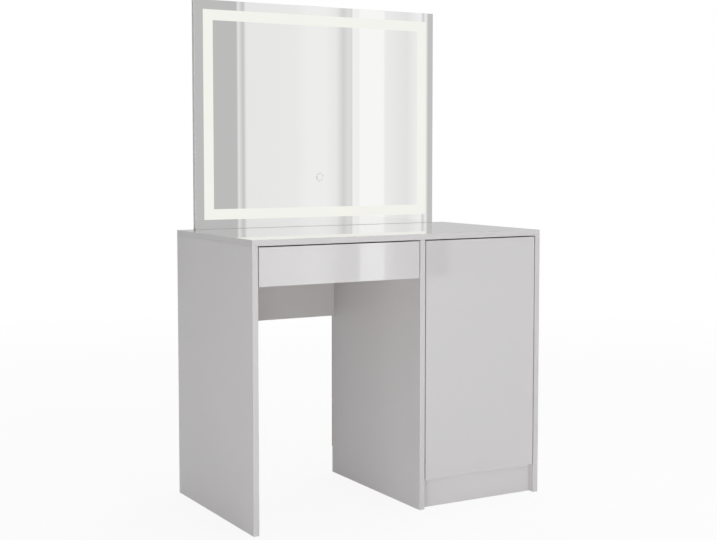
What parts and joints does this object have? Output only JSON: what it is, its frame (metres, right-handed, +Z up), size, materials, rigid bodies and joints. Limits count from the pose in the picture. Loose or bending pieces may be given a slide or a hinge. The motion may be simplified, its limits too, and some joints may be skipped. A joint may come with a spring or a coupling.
{
  "type": "dressing table",
  "caption": "Light grey dressing table with a knee space, a handle-free drawer, a push-latch cupboard and a lit mirror standing on the rear of its top.",
  "frame": {"origin": "on the floor, under the middle of the table's overall box", "axes": "+Z up, +X to the right of someone sitting at the table, +Y to the rear, so the fronts face -Y"},
  "size_m": [0.9, 0.502, 1.405],
  "materials": {
    "satin_board": "satin light grey laminate",
    "gloss_board": "high-gloss light grey",
    "drawer_board": "satin pale laminate",
    "fibre_sheet": "painted fibreboard",
    "dowel_wood": "fluted beech",
    "cast_zinc": "cast zinc",
    "zinc_steel": "zinc plated",
    "nickel_steel": "nickel plated",
    "runner_enamel": "white enamel",
    "nylon": "moulded nylon",
    "mirror_silver": "silvered glass, frosted band",
    "light_tape": "flexible circuit",
    "light_chip": "phosphor",
    "grey_plastic": "moulded",
    "dark_plastic": "moulded"
  },
  "bodies": {
    "carcass": {"left_side_panel": "satin_board", "divider_panel": "satin_board", "right_side_panel": "satin_board", "knee_back_rail": "satin_board", "plinth_board": "satin_board", "cupboard_floor": "satin_board", "cupboard_stretcher": "satin_board", "cupboard_shelf": "satin_board", "mirror_board": "satin_board", "top_panel": "gloss_board", "cupboard_back": "fibre_sheet", "carcass_dowels": "dowel_wood", "mirror_dowels": "dowel_wood", "carcass_cam_discs": "cast_zinc", "carcass_cam_bolts": "zinc_steel", "back_nails": "zinc_steel", "channel_screws": "zinc_steel", "front_roller_rivets": "zinc_steel", "strap_screws": "zinc_steel", "latch_screws": "zinc_steel", "hinge_arm_screws": "zinc_steel", "mirror_strap_left": "zinc_steel", "mirror_strap_right": "zinc_steel", "shelf_pins": "zinc_steel", "hinge_arm_lower": "nickel_steel", "hinge_arm_upper": "nickel_steel", "runner_channel_left": "runner_enamel", "runner_channel_right": "runner_enamel", "mirror_glass": "mirror_silver", "led_strip": "light_tape", "led_chips": "light_chip", "latch_body": "grey_plastic", "touch_sensor": "grey_plastic", "power_inlet": "dark_plastic", "sensor_lead": "dark_plastic"},
    "drawer": {"drawer_front": "gloss_board", "drawer_wall_left": "drawer_board", "drawer_wall_right": "drawer_board", "drawer_back": "drawer_board", "drawer_bottom": "fibre_sheet", "drawer_dowels": "dowel_wood", "drawer_cam_discs": "cast_zinc", "drawer_cam_bolts": "zinc_steel", "drawer_back_screws": "zinc_steel", "drawer_runner_left": "runner_enamel", "drawer_runner_right": "runner_enamel", "drawer_runner_screws": "zinc_steel", "rear_roller_rivets": "zinc_steel"},
    "door": {"door_panel": "gloss_board", "hinge_cup_lower": "nickel_steel", "hinge_cup_upper": "nickel_steel", "hinge_pins": "zinc_steel", "hinge_cup_screws": "zinc_steel", "strike_disc": "zinc_steel"},
    "latch_plunger": {"latch_plunger": "grey_plastic"},
    "front_roller_left": {"front_roller_left": "nylon"},
    "front_roller_right": {"front_roller_right": "nylon"},
    "rear_roller_left": {"rear_roller_left": "nylon"},
    "rear_roller_right": {"rear_roller_right": "nylon"}
  },
  "joints": [
    {"name": "drawer_slide", "type": "slide", "parent": "carcass", "child": "drawer", "axis": [0, -1, 0], "range_m": [0, 0.33]},
    {"name": "door_swing", "type": "hinge", "parent": "carcass", "child": "door", "pos_m": [0.41814, -0.2426, 0.409], "axis": [0, 0, 1], "range_deg": [0, 95]},
    {"name": "latch_stroke", "type": "slide", "parent": "carcass", "child": "latch_plunger", "axis": [0, -1, 0], "range_m": [0, 0.02]},
    {"name": "front_roller_left_spin", "type": "hinge", "parent": "carcass", "child": "front_roller_left", "pos_m": [-0.42855, -0.215, 0.6553], "axis": [1, 0, 0], "continuous": true},
    {"name": "rear_roller_left_spin", "type": "hinge", "parent": "drawer", "child": "rear_roller_left", "pos_m": [-0.42695, 0.197, 0.6553], "axis": [1, 0, 0], "continuous": true},
    {"name": "front_roller_right_spin", "type": "hinge", "parent": "carcass", "child": "front_roller_right", "pos_m": [0.04255, -0.215, 0.6553], "axis": [1, 0, 0], "continuous": true},
    {"name": "rear_roller_right_spin", "type": "hinge", "parent": "drawer", "child": "rear_roller_right", "pos_m": [0.04095, 0.197, 0.6553], "axis": [1, 0, 0], "continuous": true}
  ],
  "couplings": [
    {"joint": "front_roller_left_spin", "follows": "drawer_slide", "rad_per_m": 111.11},
    {"joint": "front_roller_right_spin", "follows": "drawer_slide", "rad_per_m": 111.11},
    {"joint": "rear_roller_left_spin", "follows": "drawer_slide", "rad_per_m": 111.11},
    {"joint": "rear_roller_right_spin", "follows": "drawer_slide", "rad_per_m": 111.11},
    {"joint": "latch_stroke", "follows": "door_swing", "m_per_rad": 0.012}
  ]
}
